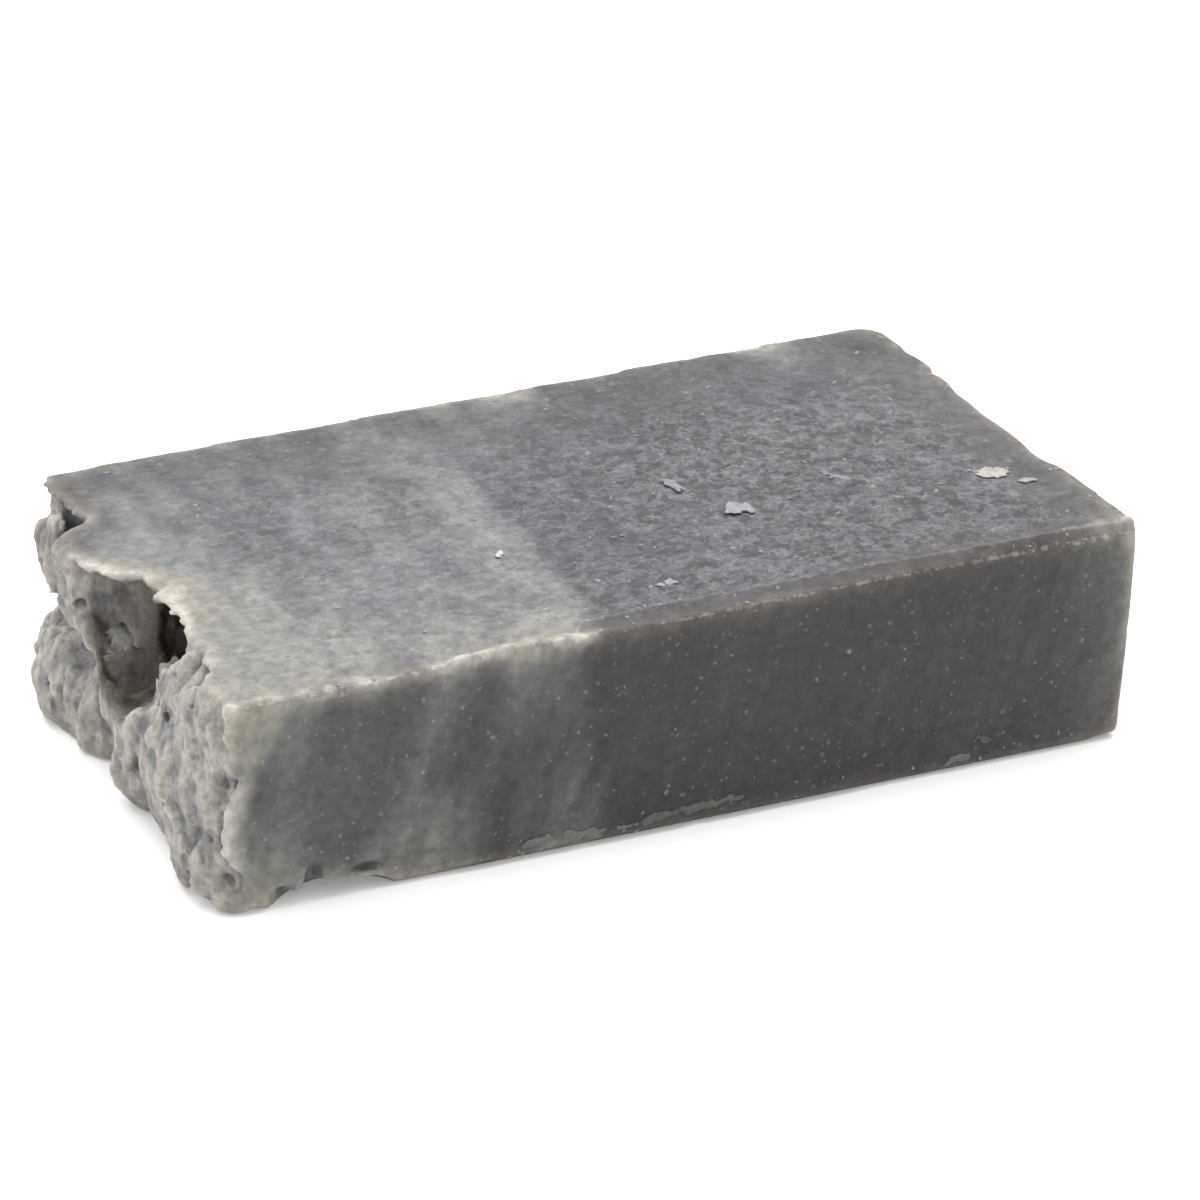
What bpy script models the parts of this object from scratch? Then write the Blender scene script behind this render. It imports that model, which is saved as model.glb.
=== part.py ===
"""A hand-cut bar of marbled soap: one solid bar with a rough poured end, and the crumbs that cling to it.

Run with: blender --background --python part.py
Units are metres, +Z is up. The origin is the middle of the flat cut face that the bar lies on,
+X runs along the bar towards its smooth moulded end, and -Y is its front long side.
"""

import math
import random

import bmesh
import bpy
from mathutils import Euler, Matrix, Vector

MM = 0.001

# Driving dimensions of the bar, between the flat faces that the knife and the mould left
LENGTH = 100 * MM
WIDTH = 59.4 * MM
HEIGHT_AT_MOULDED_END = 25.8 * MM
HEIGHT_AT_ROUGH_END = 23.2 * MM
MOULD_CORNER_RADIUS = 2.6 * MM
MOULD_CORNER_SEGMENTS = 6
CUT_EDGE_CHAMFER = 0.5 * MM

# The rough end is the top of the pour: folds stand out past the end's plane, and hollows sink below it.
# name: (middle's y, z), (radius along y, z), how far it stands out, all in mm
END_RELIEF = {
    "far_foot": ((15.5, 4.0), (11.0, 7.5), 5.6),
    "far_roll": ((24.5, 17.0), (4.5, 6.5), 2.4),
    "far_brow": ((12.0, 20.5), (5.5, 8.0), 4.6),
    "waist_below_brow": ((21.0, 11.5), (5.0, 3.0), -2.2),
    "middle_foot": ((-4.0, 3.0), (8.5, 6.0), 3.4),
    "cave_fin": ((1.0, 13.5), (3.4, 5.0), 3.6),
    "cave": ((-5.0, 18.6), (6.0, 4.6), -8.0),
    "near_brow": ((-25.0, 21.5), (6.0, 5.0), 2.6),
    "near_belly": ((-14.5, 8.0), (6.5, 6.5), 3.2),
    "near_foot": ((-21.0, 4.5), (8.0, 6.5), 2.8),
    "near_pit": ((-25.0, 12.5), (3.0, 2.6), -2.4),
}
RELIEF_CELL = 1.5 * MM
RELIEF_MARGIN = 3 * MM
END_ALLOWANCE = 9 * MM

# A shallow undercut along the foot of the front face, near the rough end: middle and radii, in mm
UNDERCUT = ((-38.5, -30.4, 0.4), (7.5, 1.8, 2.0))
UNDERCUT_SUBDIVISIONS = 3

# Crumbs lie this far off a face, because two solids may not touch
GAP = 0.3 * MM
CRUMB_POINTS = 16
CRUMB_RAGGEDNESS = 0.24
CRUMB_SEED = 7
# name: (x, y), (length, breadth, thickness) in mm, turn in degrees, on the upper cut face
TOP_CRUMBS = {
    "crumb_top_pale_large": ((42.0, -13.0), (3.8, 3.2, 0.7), 20),
    "crumb_top_pale_small": ((44.8, -16.4), (2.6, 1.8, 0.5), -15),
    "crumb_top_middle": ((13.6, -9.8), (4.0, 3.0, 0.6), 30),
    "crumb_top_long": ((26.6, -7.4), (4.6, 1.5, 0.6), -48),
    "crumb_top_rear": ((9.6, -1.8), (3.6, 1.6, 0.6), -75),
    "crumb_top_bright": ((-14.0, -9.4), (1.9, 1.2, 0.6), 60),
    "crumb_top_front": ((-1.0, -22.8), (2.0, 1.6, 0.5), 10),
}
# name: (x, z), (length, height, thickness) in mm, turn in degrees, on the front face
FRONT_SHAVINGS = {
    "shaving_front_long": ((-15.0, 1.75), (11.0, 1.5, 0.5), -2),
    "shaving_front_middle": ((-1.0, 2.05), (13.0, 1.4, 0.5), 3),
    "shaving_front_short": ((30.2, 1.45), (3.4, 1.0, 0.5), 8),
    "shaving_front_upper": ((33.8, 3.1), (2.8, 1.1, 0.5), -24),
}


def linear(hex_colour):
    """Blender's linear colour for an sRGB hex value."""
    parts = [int(hex_colour[i : i + 2], 16) / 255 for i in (0, 2, 4)]
    return [c / 12.92 if c <= 0.04045 else ((c + 0.055) / 1.055) ** 2.4 for c in parts] + [1.0]


def soap_material(name, hex_colour, roughness):
    material = bpy.data.materials.new(name)
    material.use_nodes = True
    shader = material.node_tree.nodes["Principled BSDF"]
    shader.inputs["Base Color"].default_value = linear(hex_colour)
    shader.inputs["Roughness"].default_value = roughness
    shader.inputs["Metallic"].default_value = 0.0
    return material


def new_collection(name):
    collection = bpy.data.collections.new(name)
    bpy.context.scene.collection.children.link(collection)
    return collection


def new_object(shape, name, collection, material=None):
    """A named object whose mesh is what the bmesh holds; the bmesh is freed."""
    mesh = bpy.data.meshes.new(name)
    shape.to_mesh(mesh)
    shape.free()
    made = bpy.data.objects.new(name, mesh)
    collection.objects.link(made)
    if material:
        mesh.materials.append(material)
    return made


def top_height(x):
    """Height of the upper cut face above the lower one: the two cuts aren't quite parallel."""
    share = x / LENGTH + 0.5
    return HEIGHT_AT_ROUGH_END + share * (HEIGHT_AT_MOULDED_END - HEIGHT_AT_ROUGH_END)


def bar_block(collection, material):
    """The block between the cut faces, overlong at its rough end, with the mould's rounded corners."""
    start, end = -LENGTH / 2 - END_ALLOWANCE, LENGTH / 2
    block = bmesh.new()
    bmesh.ops.create_cube(block, size=1.0)
    for corner in block.verts:
        x = end if corner.co.x > 0 else start
        corner.co = Vector((x, corner.co.y * WIDTH, top_height(x) if corner.co.z > 0 else 0.0))

    def is_moulded_corner(edge):
        a, b = (corner.co for corner in edge.verts)
        return a.x > 0 and b.x > 0 and abs(a.z - b.z) > HEIGHT_AT_ROUGH_END / 2

    bmesh.ops.bevel(
        block,
        geom=[edge for edge in block.edges if is_moulded_corner(edge)],
        offset=MOULD_CORNER_RADIUS,
        segments=MOULD_CORNER_SEGMENTS,
        profile=0.5,
        affect="EDGES",
    )
    sharp = [edge for edge in block.edges if edge.calc_face_angle() > math.radians(60)]
    bmesh.ops.bevel(block, geom=sharp, offset=CUT_EDGE_CHAMFER, segments=1, affect="EDGES")
    return new_object(block, "soap_bar", collection, material)


def hide_as_cutter(cutter):
    cutter.hide_render = True
    cutter.display_type = "WIRE"


def cut_away(target, cutter):
    hide_as_cutter(cutter)
    cut = target.modifiers.new(cutter.name, "BOOLEAN")
    cut.operation = "DIFFERENCE"
    cut.solver = "EXACT"
    cut.object = cutter


def relief(y, z):
    """How far the rough end's surface stands out past the end's plane, a sum of smooth bumps and dips."""
    total = 0.0
    for middle, radii, reach in END_RELIEF.values():
        away = ((y / MM - middle[0]) / radii[0]) ** 2 + ((z / MM - middle[1]) / radii[1]) ** 2
        total += reach * math.exp(-away)
    return total * MM


def outside_of_rough_end(collection):
    """The space past the rough end: a grid laid to the relief, extruded outwards to a flat back."""
    width = WIDTH + 2 * RELIEF_MARGIN
    height = HEIGHT_AT_MOULDED_END + 2 * RELIEF_MARGIN
    lay = Matrix.Translation((0, 0, height / 2 - RELIEF_MARGIN)) @ Euler((0, math.radians(-90), 0)).to_matrix().to_4x4()
    space = bmesh.new()
    bmesh.ops.create_grid(
        space,
        x_segments=round(height / RELIEF_CELL),
        y_segments=round(width / RELIEF_CELL),
        size=0.5,
        matrix=lay @ Matrix.Diagonal((height, width, 1, 1)),
    )
    for point in space.verts:
        point.co.x = -LENGTH / 2 - relief(point.co.y, point.co.z)
    grown = bmesh.ops.extrude_face_region(space, geom=space.faces[:])["geom"]
    for point in (item for item in grown if isinstance(item, bmesh.types.BMVert)):
        point.co.x = -LENGTH / 2 - 2 * END_ALLOWANCE
    bmesh.ops.recalc_face_normals(space, faces=space.faces)
    return new_object(space, "space_past_rough_end", collection)


def foot_undercut(collection):
    centre, radii = (Vector(values) * MM for values in UNDERCUT)
    scoop = bmesh.new()
    bmesh.ops.create_icosphere(
        scoop,
        subdivisions=UNDERCUT_SUBDIVISIONS,
        radius=1.0,
        matrix=Matrix.Translation(centre) @ Matrix.Diagonal((*radii, 1)),
    )
    return new_object(scoop, "foot_undercut", collection)


def ragged_flake(name, size, rng, collection, material):
    """A thin ragged flake, flat on its own XY plane and centred on its origin."""
    length, breadth, thickness = size
    outline = bpy.data.curves.new(name, "CURVE")
    outline.dimensions = "2D"
    outline.fill_mode = "BOTH"
    outline.extrude = thickness / 2
    edge = outline.splines.new("POLY")
    edge.points.add(CRUMB_POINTS - 1)
    edge.use_cyclic_u = True
    for i, point in enumerate(edge.points):
        angle = 2 * math.pi * i / CRUMB_POINTS
        reach = 1 - CRUMB_RAGGEDNESS * rng.random()
        point.co = (reach * length / 2 * math.cos(angle), reach * breadth / 2 * math.sin(angle), 0, 1)
    outline.materials.append(material)
    made = bpy.data.objects.new(name, outline)
    collection.objects.link(made)
    return made


def lay(flake, place, tilt, turn):
    """Put a flake at a place, turned in its own plane, then tilted to the face that it clings to."""
    flake.location = place
    flake.rotation_euler = (tilt.to_matrix() @ Euler((0, 0, math.radians(turn))).to_matrix()).to_euler()


def add_crumbs(collection, material):
    rng = random.Random(CRUMB_SEED)
    slope = math.atan2(HEIGHT_AT_MOULDED_END - HEIGHT_AT_ROUGH_END, LENGTH)
    for name, (place, size, turn) in TOP_CRUMBS.items():
        x, y = (value * MM for value in place)
        flake_size = [value * MM for value in size]
        flake = ragged_flake(name, flake_size, rng, collection, material)
        lay(flake, (x, y, top_height(x) + GAP + flake_size[2] / 2), Euler((0, -slope, 0)), turn)
    for name, (place, size, turn) in FRONT_SHAVINGS.items():
        x, z = (value * MM for value in place)
        flake_size = [value * MM for value in size]
        flake = ragged_flake(name, flake_size, rng, collection, material)
        lay(flake, (x, -WIDTH / 2 - GAP - flake_size[2] / 2, z), Euler((math.radians(90), 0, 0)), turn)


def main():
    for leftover in list(bpy.data.objects):
        bpy.data.objects.remove(leftover)
    bar_parts = new_collection("soap_bar_with_crumbs")
    cutters = new_collection("cutters")

    bar = bar_block(bar_parts, soap_material("cured_grey_soap", "6f6e72", 0.5))
    cut_away(bar, outside_of_rough_end(cutters))
    cut_away(bar, foot_undercut(cutters))
    add_crumbs(bar_parts, soap_material("pale_soap_crumb", "a3a1a0", 0.6))


main()
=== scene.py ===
"""A hand-cut bar of marbled grey soap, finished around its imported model, on a pale floor in soft light."""

import itertools
import math

import bpy
import numpy as np
from mathutils import Matrix, Vector


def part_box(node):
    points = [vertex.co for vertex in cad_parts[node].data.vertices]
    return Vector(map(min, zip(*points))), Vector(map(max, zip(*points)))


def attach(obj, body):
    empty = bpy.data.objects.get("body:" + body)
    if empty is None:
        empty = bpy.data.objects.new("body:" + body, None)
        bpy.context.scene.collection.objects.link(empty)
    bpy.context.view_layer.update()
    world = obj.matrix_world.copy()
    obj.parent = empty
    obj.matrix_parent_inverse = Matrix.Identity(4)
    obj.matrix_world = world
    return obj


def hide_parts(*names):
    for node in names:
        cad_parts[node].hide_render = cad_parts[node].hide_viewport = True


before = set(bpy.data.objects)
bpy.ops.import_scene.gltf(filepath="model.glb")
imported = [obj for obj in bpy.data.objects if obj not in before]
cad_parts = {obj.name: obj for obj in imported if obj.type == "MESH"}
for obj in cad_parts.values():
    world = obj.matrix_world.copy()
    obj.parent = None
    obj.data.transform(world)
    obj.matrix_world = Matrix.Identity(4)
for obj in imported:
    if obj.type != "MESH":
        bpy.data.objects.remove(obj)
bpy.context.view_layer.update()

# ---- The bar ----
# One solid bar of cold-process soap, poured in a loaf mould and sliced. Its upper and lower faces are
# knife cuts, its long sides and +X end took the mould's shape, and its -X end is the rough top of the
# pour. The shape is a signed distance in millimetres, negative inside, meshed by a surface net.
MM = 0.001
BAR_HIGH = np.array(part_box("soap_bar")[1]) / MM
MOULDED_END_X = BAR_HIGH[0]
SIDE_Y = BAR_HIGH[1]
ROUGH_END_X = -MOULDED_END_X
CUT_SLOPE = 0.026
HEIGHT_AT_MIDDLE = BAR_HIGH[2] - CUT_SLOPE * MOULDED_END_X
FRONT_CORNER_RADIUS = 1.4
BACK_CORNER_RADIUS = 3.0
CUT_EDGE_BLEND = 0.5
MOULDED_EDGE_BLEND = 1.8
MOULDED_END_BULGE = 0.9

# Where the upper cut and the front side meet the rough end, as (y, x) and (z, x)
TOP_RIM = (
    (-30.0, -51.4), (-28.5, -50.9), (-26.4, -51.7), (-21.2, -50.7), (-16.2, -48.8), (-11.8, -48.9),
    (-8.0, -49.1), (-7.1, -49.9), (-4.5, -49.2), (-2.6, -47.8), (0.1, -47.3), (1.7, -49.1),
    (2.8, -51.5), (4.1, -53.1), (6.1, -54.7), (9.7, -55.2), (13.3, -54.7), (14.3, -53.9),
    (15.8, -51.9), (18.4, -50.7), (19.3, -51.7), (22.7, -51.9), (27.0, -52.2), (30.0, -52.0),
)
FRONT_RIM = (
    (0.0, -49.9), (2.0, -50.5), (4.6, -50.0), (7.5, -52.5), (12.1, -52.0),
    (14.0, -50.4), (16.2, -49.9), (19.4, -51.8), (22.1, -51.7), (24.0, -51.2),
)
RIM_UNDERCUT = 1.9
RIM_OVERHANG = 1.3
# How far the moulded end's upper edge has worn back, as (y, wear)
MOULDED_RIM_WEAR = (
    (-30.0, 0.1), (-26.0, 0.0), (-20.0, 0.1), (-16.4, 0.1), (-13.4, 0.5), (-11.4, 1.3),
    (-8.7, 1.2), (-5.0, 0.9), (7.7, 0.9), (11.0, 0.4), (13.0, 0.3), (14.5, 0.8),
    (16.2, 0.2), (19.0, 0.1), (21.6, 0.5), (23.4, 0.1), (30.0, 0.3),
)
# How far the front side's upper edge lies below the cut (negative: a lip above it), as (x, drop)
FRONT_EDGE_DROP = (
    (-50.0, 0.0), (-33.0, 0.2), (-28.7, 0.0), (-26.6, -0.6), (-22.4, -0.7), (-18.0, -0.5),
    (-14.0, -0.1), (-10.0, 0.1), (0.0, 0.35), (10.0, 0.4), (20.0, 0.5), (30.0, 0.7),
    (40.0, 0.95), (50.0, 1.1),
)
# The ridge where the knife's second pass left a narrow facet along the front, as (x, y)
FRONT_RIDGE = ((-28.0, -28.6), (-12.0, -26.6), (10.0, -27.0), (25.0, -27.8), (48.0, -28.6))
FOOT_SETBACK = 0.7
FOOT_HEIGHT = 0.9
FOOT_BLEND = 0.4
MOULDED_FOOT_BLEND = 1.6
# The rough end reaches about this far in from the mean plane of its rim, and its relief fades out here
ROUGH_END_DEPTH = 18.0
ROUGH_RELIEF_FADES = (-44.0, -40.0)
# Each fold or hollow is an ellipsoid: its centre, then its radii, in mm
END_FOLDS = {
    "far foot": ((-50.2, 17.5, 3.4), (5.8, 10.0, 6.6)),
    "far foot's near side": ((-50.0, 9.5, 3.0), (4.4, 4.6, 7.0)),
    "back foot": ((-49.5, 25.5, 4.0), (4.0, 5.0, 5.0)),
    "back corner": ((-48.6, 26.0, 20.6), (2.8, 5.0, 4.6)),
    "far brow": ((-50.2, 11.6, 20.0), (4.8, 5.4, 7.5)),
    "middle foot": ((-49.8, -3.5, 4.6), (4.1, 6.0, 6.2)),
    "cave's sill": ((-50.6, 0.5, 10.0), (3.2, 5.6, 4.8)),
    "near lobe": ((-48.8, -14.5, 15.5), (3.2, 6.5, 7.0)),
    "near belly": ((-49.6, -12.5, 8.0), (4.2, 8.0, 7.5)),
    "near flank": ((-49.8, -20.0, 11.0), (3.9, 7.6, 8.4)),
    "near foot": ((-49.6, -21.5, 4.0), (4.5, 7.5, 5.6)),
    "near brow": ((-49.0, -24.5, 19.0), (3.0, 5.5, 5.6)),
    "near toe": ((-49.9, -28.4, 1.4), (2.0, 1.6, 1.6)),
}
END_HOLLOWS = {
    "cave": ((-51.8, -0.8, 18.2), (3.7, 6.6, 6.4)),
    "cave's near arm": ((-49.6, -7.6, 20.6), (3.3, 5.2, 2.8)),
    "cave's pocket": ((-46.4, -3.4, 17.4), (4.8, 3.8, 4.8)),
    "grey hollow": ((-53.4, -4.4, 10.8), (2.4, 1.7, 1.6)),
    "gap beside the far foot": ((-55.6, 4.4, 3.0), (3.0, 2.0, 6.0)),
    "gap under the fin": ((-54.6, 9.4, 11.4), (2.6, 3.0, 1.8)),
    "waist under the rolls": ((-55.4, 23.6, 11.4), (3.4, 5.0, 1.3)),
    "near scoop": ((-55.3, -26.4, 14.6), (2.2, 2.6, 3.0)),
}
# Torn out of the bar's foot, after everything else
FOOT_HOLLOWS = {
    "slot": ((-39.6, -30.2, 0.2), (6.2, 4.5, 1.8)),
    "heel": ((-44.6, -30.4, 1.0), (2.3, 2.6, 1.7)),
    "notch": ((-42.0, -30.0, 1.8), (1.1, 3.0, 2.5)),
    "hole": ((-36.4, -30.2, 2.7), (1.9, 1.8, 0.6)),
    "hole by the toe": ((-51.2, -29.8, 3.6), (1.3, 1.6, 0.8)),
    "gap by the toe": ((-48.0, -30.6, 0.0), (1.2, 2.0, 1.0)),
}
# Each roll runs from one point to another with one radius, in mm
END_ROLLS = {
    "outer roll": ((-51.0, 26.2, 17.4), (-51.2, 26.0, 14.0), 2.2),
    "outer roll's foot": ((-51.2, 26.0, 14.0), (-51.6, 23.2, 12.6), 1.8),
    "inner roll": ((-51.7, 22.6, 20.6), (-52.1, 21.8, 14.2), 1.5),
    "fin's upper crest": ((-53.2, 13.0, 21.6), (-52.7, 8.4, 15.6), 1.6),
    "fin's lower crest": ((-52.7, 8.4, 15.6), (-52.3, -0.2, 11.8), 1.3),
    "near ridge's top": ((-52.9, -12.5, 12.5), (-53.2, -18.8, 10.8), 0.9),
    "near ridge": ((-53.2, -18.8, 10.8), (-53.1, -22.4, 6.6), 0.9),
    "near ridge's foot": ((-53.1, -22.4, 6.6), (-52.7, -25.4, 2.0), 0.9),
    "middle lobe": ((-52.6, -8.6, 12.6), (-53.3, -5.6, 6.0), 1.2),
}
FOLD_BLEND = 1.4
HOLLOW_BLEND = 0.5
LIP_BLEND = 0.4
LIP_DEPTH = 3.0
RIM_BLEND = 0.7
CRUMBLE_SIZE = 1.6


def step(value, start, end):
    share = np.clip((value - start) / (end - start), 0, 1)
    return share * share * (3 - 2 * share)


def smooth_union(a, b, blend):
    share = np.clip(0.5 + 0.5 * (b - a) / blend, 0, 1)
    return b + (a - b) * share - blend * share * (1 - share)


def carve(a, b, blend):
    return -smooth_union(-a, b, blend)


def ellipsoid(p, centre, radii):
    q = [(axis - c) / r for axis, c, r in zip(p, centre, radii)]
    near = np.sqrt(sum(v * v for v in q))
    steep = np.sqrt(sum((v / r) ** 2 for v, r in zip(q, radii)))
    return near * (near - 1) / np.maximum(steep, 1e-6)


def roll(p, start, end, radius):
    start, along = np.array(start), np.subtract(end, start)
    offset = [axis - s for axis, s in zip(p, start)]
    share = np.clip(sum(o * a for o, a in zip(offset, along)) / (along @ along), 0, 1)
    return np.sqrt(sum((o - share * a) ** 2 for o, a in zip(offset, along))) - radius


GRADIENT_TABLE_SIDE = 32
GRADIENTS = np.random.default_rng(11).normal(size=(GRADIENT_TABLE_SIDE**3, 3)).astype(np.float32)
GRADIENTS /= np.linalg.norm(GRADIENTS, axis=1, keepdims=True)


def lumps(points, size, seed):
    """Smooth gradient noise, about -0.7 to 0.7, whose lumps are about one size across."""
    q = np.asarray(points, np.float32) / size + seed * np.array([17.3, 5.9, 11.7], np.float32)
    cell = np.floor(q).astype(np.int32)
    part = q - cell
    ease = part**3 * (part * (part * 6 - 15) + 10)
    total = np.zeros(len(q), np.float32)
    for corner in itertools.product((0, 1), repeat=3):
        i, j, k = ((cell + corner) % GRADIENT_TABLE_SIDE).T
        slope = GRADIENTS[(i * GRADIENT_TABLE_SIDE + j) * GRADIENT_TABLE_SIDE + k]
        weight = np.prod([e if c else 1 - e for c, e in zip(corner, ease.T)], axis=0)
        total += weight * np.einsum("ij,ij->i", slope, part - np.array(corner, np.float32))
    return total


def cut_height(x):
    return HEIGHT_AT_MIDDLE + CUT_SLOPE * x


def bar_distance(x, y, z):
    """The bar's signed distance at a grid of points, before its fine texture."""
    rough = ROUGH_END_X + 1.0 - x
    near_end = x[:, 0, 0] < ROUGH_END_X + ROUGH_END_DEPTH
    p = (x[near_end], y, z)
    end = np.broadcast_to(rough[near_end], (near_end.sum(), y.size, z.size))
    for centre, radii in END_FOLDS.values():
        end = smooth_union(end, ellipsoid(p, centre, radii), FOLD_BLEND)
    for start, finish, radius in END_ROLLS.values():
        end = smooth_union(end, roll(p, start, finish, radius), FOLD_BLEND / 2)
    for centre, radii in END_HOLLOWS.values():
        end = carve(end, ellipsoid(p, centre, radii), HOLLOW_BLEND)
    near_x, depth, side_depth = p[0], cut_height(p[0]) - z, y + SIDE_Y
    along_y, along_z = y[0, :, 0], z[0, 0, :]
    top_crumble = 1.1 * lumps(np.outer(along_y, (1, 0.3, 0.1)), CRUMBLE_SIZE, 40)
    front_crumble = 1.0 * lumps(np.outer(along_z, (0.2, 1, 0.3)), CRUMBLE_SIZE, 41)
    top_rim = (np.interp(along_y, *zip(*TOP_RIM)) + top_crumble)[None, :, None]
    front_rim = (np.interp(along_z, *zip(*FRONT_RIM)) + front_crumble)[None, None, :]
    for rim, below in ((top_rim, depth), (front_rim, side_depth)):
        lip = np.maximum(rim + RIM_UNDERCUT * below - near_x, below - LIP_DEPTH)
        end = smooth_union(end, lip, LIP_BLEND)
        end = np.maximum(end, rim - RIM_OVERHANG * below - near_x)
    rest = np.broadcast_to(rough[~near_end], ((~near_end).sum(), y.size, z.size))
    end = np.concatenate([end, rest])

    solid = -smooth_union(-block_distance(x, y, z), -end, RIM_BLEND)
    for centre, radii in FOOT_HOLLOWS.values():
        solid = carve(solid, ellipsoid((x, y, z), centre, radii), HOLLOW_BLEND)
    return solid


def block_distance(x, y, z):
    """The poured and cut block without its rough end."""
    radius = np.where(y < 0, FRONT_CORNER_RADIUS, BACK_CORNER_RADIUS)
    wear = np.interp(y, *zip(*MOULDED_RIM_WEAR)) * step(z, 16.0, 25.0)
    bulge = MOULDED_END_BULGE * (0.6 + 0.4 * step(z, 0.0, 18.0))
    over_x, over_y = x - MOULDED_END_X + radius + wear - bulge, np.abs(y) - SIDE_Y + radius
    side = np.hypot(np.maximum(over_x, 0), np.maximum(over_y, 0))
    side = side + np.minimum(np.maximum(over_x, over_y), 0) - radius
    side = np.maximum(side, -SIDE_Y - y + FOOT_SETBACK * np.clip(1 - z / FOOT_HEIGHT, 0, 1))
    ridge = np.interp(x, *zip(*FRONT_RIDGE))
    drop = np.interp(x, *zip(*FRONT_EDGE_DROP)) * np.clip((ridge - y) / (ridge + SIDE_Y), 0, 1)
    top = z - cut_height(x) + drop
    near_mould = step(x, MOULDED_END_X - 4, MOULDED_END_X)
    blend = CUT_EDGE_BLEND + (MOULDED_EDGE_BLEND - CUT_EDGE_BLEND) * near_mould
    near_mould = step(x, MOULDED_END_X - 4, MOULDED_END_X - 1)
    foot_blend = FOOT_BLEND + (MOULDED_FOOT_BLEND - FOOT_BLEND) * near_mould
    return -smooth_union(smooth_union(-side, -top, blend), z, foot_blend)


def grid_line(*stretches):
    """Coordinates along one axis: each stretch runs to its end in steps of about one size."""
    line = [stretches[0]]
    for end, spacing in stretches[1:]:
        count = max(1, round((end - line[-1]) / spacing))
        line.extend(np.linspace(line[-1], end, count + 1)[1:])
    return np.array(line)


def without_diagonals(distance):
    """Fills each spot where two solid corners meet only diagonally, which would pinch the surface."""
    solid = distance < 0
    while True:
        pinched = np.zeros_like(solid)
        for a, b in ((0, 1), (0, 2), (1, 2)):
            s = np.moveaxis(solid, (a, b), (0, 1))
            marks = np.moveaxis(pinched, (a, b), (0, 1))
            p, q, r, t = s[:-1, :-1], s[1:, :-1], s[:-1, 1:], s[1:, 1:]
            falling, rising = p & t & ~q & ~r, q & r & ~p & ~t
            marks[1:, :-1] |= falling
            marks[:-1, :-1] |= rising
        if not pinched.any():
            return np.where(solid & (distance >= 0), -1e-3, distance)
        solid |= pinched


def surface_net(distance, lines):
    """Points and quads of the surface where the distance is zero, one point for each mixed cell."""
    solid = distance < 0
    cells = tuple(n - 1 for n in distance.shape)
    total, hits = np.zeros(cells + (3,)), np.zeros(cells, np.int8)
    crossings = []
    for axis in range(3):
        low = [slice(None)] * 3
        high = [slice(None)] * 3
        low[axis], high[axis] = slice(None, -1), slice(1, None)
        a, b = distance[tuple(low)], distance[tuple(high)]
        at = np.argwhere(solid[tuple(low)] != solid[tuple(high)])
        index = tuple(at.T)
        share = a[index] / (a[index] - b[index])
        point = np.stack([lines[n][at[:, n]] for n in range(3)], axis=1)
        line = lines[axis]
        point[:, axis] += share * (line[at[:, axis] + 1] - line[at[:, axis]])
        crossings.append((at, solid[tuple(low)][index]))
        u, v = (axis + 1) % 3, (axis + 2) % 3
        for du, dv in itertools.product((0, 1), repeat=2):
            cell = at.copy()
            cell[:, u] -= du
            cell[:, v] -= dv
            np.add.at(total, tuple(cell.T), point)
            np.add.at(hits, tuple(cell.T), 1)
    used = hits > 0
    number = np.full(cells, -1)
    number[used] = np.arange(used.sum())
    points = total[used] / hits[used][:, None]
    quads = []
    for axis, (at, starts_solid) in enumerate(crossings):
        u, v = (axis + 1) % 3, (axis + 2) % 3
        ring = []
        for du, dv in ((0, 0), (1, 0), (1, 1), (0, 1)):
            cell = at.copy()
            cell[:, u] -= du
            cell[:, v] -= dv
            ring.append(number[tuple(cell.T)])
        ring = np.stack(ring, axis=1)
        quads.append(np.where(starts_solid[:, None], ring, ring[:, ::-1]))
    return points, np.concatenate(quads)


# The grid is finest along the rough end, and coarser than that everywhere else
lines = (
    grid_line(-57.5, (-43.0, 0.36), (MOULDED_END_X + 2.4, 0.505)),
    grid_line(-SIDE_Y - 1.5, (SIDE_Y + 1.5, 0.45)),
    grid_line(-0.7, (BAR_HIGH[2] + 1.3, 0.42)),
)
grid = np.meshgrid(*lines, indexing="ij", sparse=True)
distance = bar_distance(*grid)


def crust(spots):
    """The rough end's skin: lumps and creases that run mostly up and down, and ribs in the cave."""
    leaning = spots * (1.0, 1.0, 0.4)
    leaning = leaning + 1.2 * np.stack([lumps(spots, 7.0, s) for s in (4, 5, 6)], axis=1)
    creases = 1 - step(np.abs(lumps(leaning, 3.2, 7)), 0, 0.12)
    fine_creases = 1 - step(np.abs(lumps(leaning, 1.7, 8)), 0, 0.14)
    coarse = 1.2 * lumps(spots, 5.0, 1) + 1.05 * lumps(leaning, 2.4, 2)
    fine = 0.4 * lumps(leaning, 1.1, 3) + 0.2 * lumps(spots, 0.75, 9)
    crumpled = coarse + fine + 0.45 * creases + 0.25 * fine_creases
    centre, radii = END_HOLLOWS["cave"]
    smooth = 1 - step(np.linalg.norm((spots - centre) / radii, axis=1), 1.3, 1.6)
    streaks = 1.1 * lumps(spots * (1.0, 1.0, 0.1), 1.9, 10)
    streaks += 0.5 * lumps(spots * (1.0, 1.0, 0.12), 0.9, 11)
    return crumpled * (1 - smooth) + streaks * smooth


def torn_share(x, y):
    """How torn the upper cut is: most in the middle of the moulded half, least along its margins."""
    ends = step(x, -48, -36) * (1 - 0.85 * step(x, 40, 46))
    edges = (1 - 0.75 * step(y, 6, 22)) * step(y, -28.5, -25)
    return ends * edges * (0.62 + 0.38 * step(x, -12, 12))


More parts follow.
